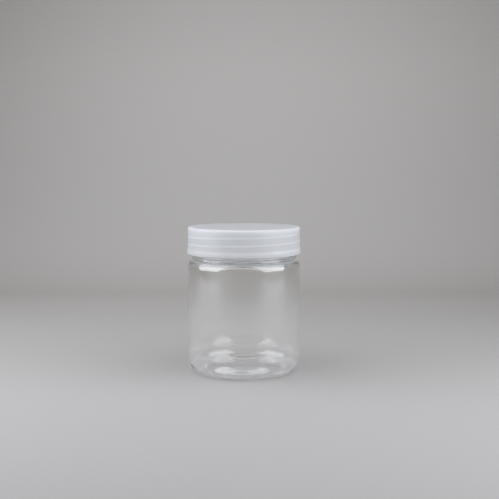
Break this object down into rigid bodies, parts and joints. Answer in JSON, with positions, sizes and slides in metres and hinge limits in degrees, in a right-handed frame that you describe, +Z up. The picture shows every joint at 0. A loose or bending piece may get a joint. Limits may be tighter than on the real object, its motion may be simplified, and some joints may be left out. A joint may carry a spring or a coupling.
{
  "type": "screw-top jar",
  "caption": "Clear straight-sided wide-mouth plastic jar with a domed base and a smooth translucent screw cap over a thin sealing liner.",
  "frame": {"origin": "centre of the foot ring, on the surface the jar stands on", "axes": "+Z up along the jar's axis, -Y towards the front"},
  "size_m": [0.069, 0.069, 0.088],
  "materials": {
    "clear_pet": "clear, glossy, moulded",
    "natural_pp": "milky translucent, satin, moulded",
    "liner_pe": "natural polyethylene sheet, milky, satin"
  },
  "bodies": {
    "jar_body": {"jar": "clear_pet"},
    "liner_body": {"cap_liner": "liner_pe"},
    "cap_body": {"screw_cap": "natural_pp"}
  },
  "joints": [
    {"name": "cap_lift", "type": "slide", "parent": "jar_body", "child": "liner_body", "axis": [0, 0, 1], "range_m": [0, 0.00703]},
    {"name": "cap_turn", "type": "hinge", "parent": "liner_body", "child": "cap_body", "pos_m": [0, 0, 0.0802], "axis": [0, 0, 1], "range_deg": [0, 562]}
  ],
  "couplings": [
    {"joint": "cap_lift", "follows": "cap_turn", "m_per_rad": 0.0007162}
  ]
}
